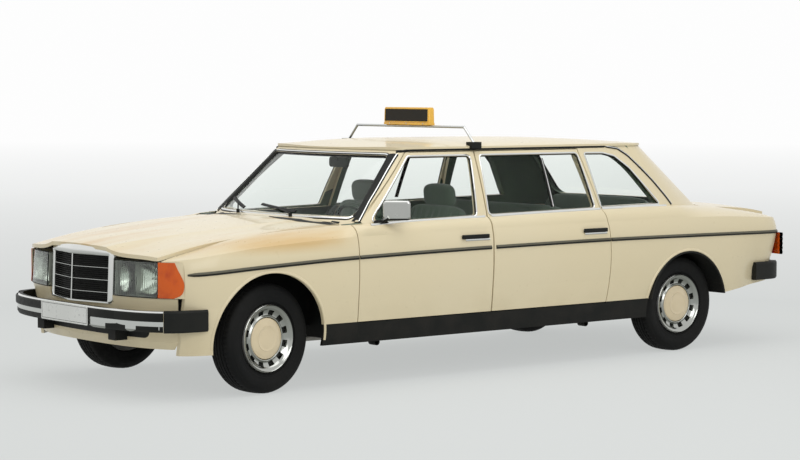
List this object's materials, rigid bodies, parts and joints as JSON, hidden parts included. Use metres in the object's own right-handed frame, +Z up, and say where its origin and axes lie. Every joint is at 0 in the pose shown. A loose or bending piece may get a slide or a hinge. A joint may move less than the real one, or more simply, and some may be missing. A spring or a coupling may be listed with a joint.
{
  "type": "long-wheelbase saloon taxi cab",
  "caption": "Stretched four-door saloon taxi with opening doors, bonnet and boot, steered front wheels, three seat rows and a blank roof sign",
  "frame": {"origin": "on the ground, below the middle of the car's length and width", "axes": "+X points to the nose, +Y to the car's left, +Z up"},
  "size_m": [5.3545, 1.8603, 1.64],
  "materials": {
    "body_paint": "light ivory gloss paint",
    "bright_metal": "polished bright metal",
    "black_rubber": "black rubber",
    "tyre_rubber": "road tyre rubber",
    "window_glass": "clear glass with a faint green tint",
    "lamp_glass": "fluted clear glass over bright reflectors",
    "amber_lens": "amber moulded lens",
    "tail_lens": "ribbed red and amber lens",
    "underside_metal": "black underseal and bare castings",
    "cabin_plastic": "dark moulded trim",
    "seat_fabric": "dark woven upholstery",
    "sign_plastic": "yellow moulded plastic with dark faces"
  },
  "bodies": {
    "root": {"side_frame_left": "body_paint", "side_frame_right": "body_paint", "glass_house": "body_paint", "roof": "body_paint", "front_wings": "body_paint", "nose_panel": "body_paint", "tail_panel": "body_paint", "cowl": "body_paint", "floor_pan": "underside_metal", "jack_tubes": "underside_metal", "bumpers": "bright_metal", "bumper_rubbers": "black_rubber", "headlamps": "lamp_glass", "indicators": "amber_lens", "tail_lamps": "tail_lens", "windscreen": "window_glass", "rear_window": "window_glass", "quarter_windows": "window_glass", "front_axle": "underside_metal", "rear_axle": "underside_metal", "engine": "underside_metal", "exhaust": "underside_metal", "front_seats": "seat_fabric", "bench_seats": "seat_fabric", "dashboard": "cabin_plastic", "sign_carrier": "bright_metal", "roof_sign": "sign_plastic", "wipers": "black_rubber"},
    "bonnet": {"bonnet": "body_paint", "grille": "bright_metal"},
    "boot_lid": {"boot_lid": "body_paint"},
    "front_door_left": {"front_door_left": "body_paint", "front_glass_left": "window_glass", "door_mirror": "bright_metal"},
    "front_door_right": {"front_door_right": "body_paint", "front_glass_right": "window_glass"},
    "rear_door_left": {"rear_door_left": "body_paint", "rear_glass_left": "window_glass"},
    "rear_door_right": {"rear_door_right": "body_paint", "rear_glass_right": "window_glass"},
    "knuckle_left": {"knuckle_left": "underside_metal"},
    "knuckle_right": {"knuckle_right": "underside_metal"},
    "front_wheel_left": {"front_wheel_left": "body_paint", "front_tyre_left": "tyre_rubber"},
    "front_wheel_right": {"front_wheel_right": "body_paint", "front_tyre_right": "tyre_rubber"},
    "rear_wheel_left": {"rear_wheel_left": "body_paint", "rear_tyre_left": "tyre_rubber"},
    "rear_wheel_right": {"rear_wheel_right": "body_paint", "rear_tyre_right": "tyre_rubber"},
    "steering_wheel": {"steering_wheel": "cabin_plastic"}
  },
  "joints": [
    {"name": "steer_left", "type": "hinge", "parent": "root", "child": "knuckle_left", "pos_m": [1.8295, 0.69, 0.32], "axis": [0, 0, 1], "range_deg": [-44, 30]},
    {"name": "steer_right", "type": "hinge", "parent": "root", "child": "knuckle_right", "pos_m": [1.8295, -0.69, 0.32], "axis": [0, 0, 1], "range_deg": [-44, 30]},
    {"name": "steering_wheel_turn", "type": "hinge", "parent": "root", "child": "steering_wheel", "pos_m": [0.792, 0.37, 0.862], "axis": [-0.8988, 0, 0.4384], "range_deg": [-670, 460]},
    {"name": "front_wheel_left_spin", "type": "hinge", "parent": "knuckle_left", "child": "front_wheel_left", "pos_m": [1.82198, 0.74347, 0.32], "axis": [-0.1392, 0.9903, 0], "continuous": true},
    {"name": "front_wheel_right_spin", "type": "hinge", "parent": "knuckle_right", "child": "front_wheel_right", "pos_m": [1.83702, -0.74347, 0.32], "axis": [-0.1392, 0.9903, 0], "continuous": true},
    {"name": "rear_wheel_left_spin", "type": "hinge", "parent": "root", "child": "rear_wheel_left", "pos_m": [-1.5955, 0.723, 0.32], "axis": [0, 1, 0], "continuous": true},
    {"name": "rear_wheel_right_spin", "type": "hinge", "parent": "root", "child": "rear_wheel_right", "pos_m": [-1.5955, -0.723, 0.32], "axis": [0, 1, 0], "continuous": true},
    {"name": "front_door_left_open", "type": "hinge", "parent": "root", "child": "front_door_left", "pos_m": [1.199, 0.897, 0.8], "axis": [0, 0, -1], "range_deg": [0, 66]},
    {"name": "front_door_right_open", "type": "hinge", "parent": "root", "child": "front_door_right", "pos_m": [1.199, -0.897, 0.8], "axis": [0, 0, 1], "range_deg": [0, 66]},
    {"name": "rear_door_left_open", "type": "hinge", "parent": "root", "child": "rear_door_left", "pos_m": [0.158, 0.897, 0.8], "axis": [0, 0, -1], "range_deg": [0, 66]},
    {"name": "rear_door_right_open", "type": "hinge", "parent": "root", "child": "rear_door_right", "pos_m": [0.158, -0.897, 0.8], "axis": [0, 0, 1], "range_deg": [0, 66]},
    {"name": "bonnet_open", "type": "hinge", "parent": "root", "child": "bonnet", "pos_m": [1.196, 0, 0.99], "axis": [0, -1, 0], "range_deg": [0, 55]},
    {"name": "boot_lid_open", "type": "hinge", "parent": "root", "child": "boot_lid", "pos_m": [-1.935, 0, 0.992], "axis": [0, 1, 0], "range_deg": [0, 75]}
  ],
  "couplings": [
    {"joint": "steer_right", "follows": "steer_left", "ratio": 1},
    {"joint": "steering_wheel_turn", "follows": "steer_left", "ratio": 15}
  ]
}
